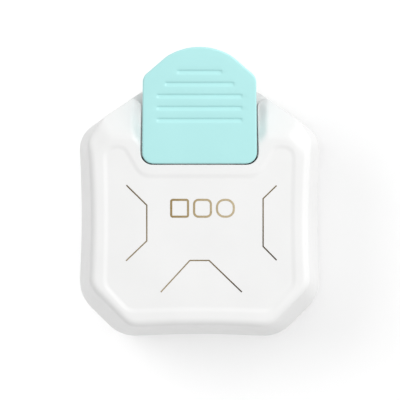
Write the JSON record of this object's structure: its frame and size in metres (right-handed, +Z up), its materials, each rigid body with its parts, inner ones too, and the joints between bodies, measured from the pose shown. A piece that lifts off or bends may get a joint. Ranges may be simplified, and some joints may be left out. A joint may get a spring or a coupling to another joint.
{
  "type": "craft punch",
  "caption": "White palm-sized corner punch with paper slots round its base, a recessed top panel and a mint thumb lever with grip grooves, for rounding paper corners.",
  "frame": {"origin": "on the table under the middle of the bounding box", "axes": "+X to the side with the large corner, +Y towards the lever's thumb end, +Z up"},
  "size_m": [0.0712, 0.0857, 0.0401],
  "materials": {
    "white_plastic": "fine satin moulding",
    "mint_plastic": "fine satin moulding",
    "grey_plastic": "satin moulding",
    "nylon": "natural nylon",
    "plate_steel": "stamped sheet",
    "tool_steel": "ground",
    "zinc_screw": "zinc plated",
    "spring_steel": "drawn wire",
    "foot_rubber": "matt"
  },
  "bodies": {
    "housing": {"top_cover": "white_plastic", "base_shell": "white_plastic", "bracket_screw_left": "zinc_screw", "bracket_screw_right": "zinc_screw", "case_screw_front_left": "zinc_screw", "case_screw_front_right": "zinc_screw", "case_screw_rear_left": "zinc_screw", "case_screw_rear_right": "zinc_screw", "chip_door_pin": "zinc_screw", "die_plate": "tool_steel", "foot_front_left": "foot_rubber", "foot_front_right": "foot_rubber", "foot_rear_left": "foot_rubber", "foot_rear_right": "foot_rubber", "guide_plate": "plate_steel", "guide_post_1": "plate_steel", "guide_post_2": "plate_steel", "guide_post_3": "plate_steel", "guide_post_4": "plate_steel", "paper_fence_front_left": "white_plastic", "paper_fence_front_right": "white_plastic", "paper_fence_rear": "white_plastic", "pivot_bracket": "plate_steel", "pivot_clip": "spring_steel", "pivot_pin": "plate_steel", "return_spring_1": "spring_steel", "return_spring_2": "spring_steel", "return_spring_3": "spring_steel", "return_spring_4": "spring_steel"},
    "lever": {"thumb_lever": "mint_plastic", "lever_arm": "plate_steel", "press_nose": "nylon", "nose_pin": "plate_steel", "lever_screw_front": "zinc_screw", "lever_screw_rear": "zinc_screw"},
    "carrier": {"punch_carrier": "plate_steel", "large_punch": "tool_steel", "large_punch_rivet": "zinc_screw", "medium_punch": "tool_steel", "medium_punch_rivet": "zinc_screw", "small_punch": "tool_steel", "small_punch_rivet": "zinc_screw"},
    "chip_door": {"chip_door": "grey_plastic"}
  },
  "joints": [
    {"name": "lever_hinge", "type": "hinge", "parent": "housing", "child": "lever", "pos_m": [0, -0.032, 0.0255], "axis": [-1, 0, 0], "range_deg": [0, 8], "stiffness_Nm_per_rad": 1.2, "springref_deg": -5.16},
    {"name": "carrier_slide", "type": "slide", "parent": "housing", "child": "carrier", "axis": [0, 0, -1], "range_m": [0, 0.0031], "deforming": ["return_spring_1", "return_spring_2", "return_spring_3", "return_spring_4"]},
    {"name": "chip_door_hinge", "type": "hinge", "parent": "housing", "child": "chip_door", "pos_m": [0, 0.0141, 0.0028], "axis": [1, 0, 0], "range_deg": [0, 80]}
  ],
  "couplings": [
    {"joint": "carrier_slide", "follows": "lever_hinge", "m_per_rad": 0.022}
  ]
}
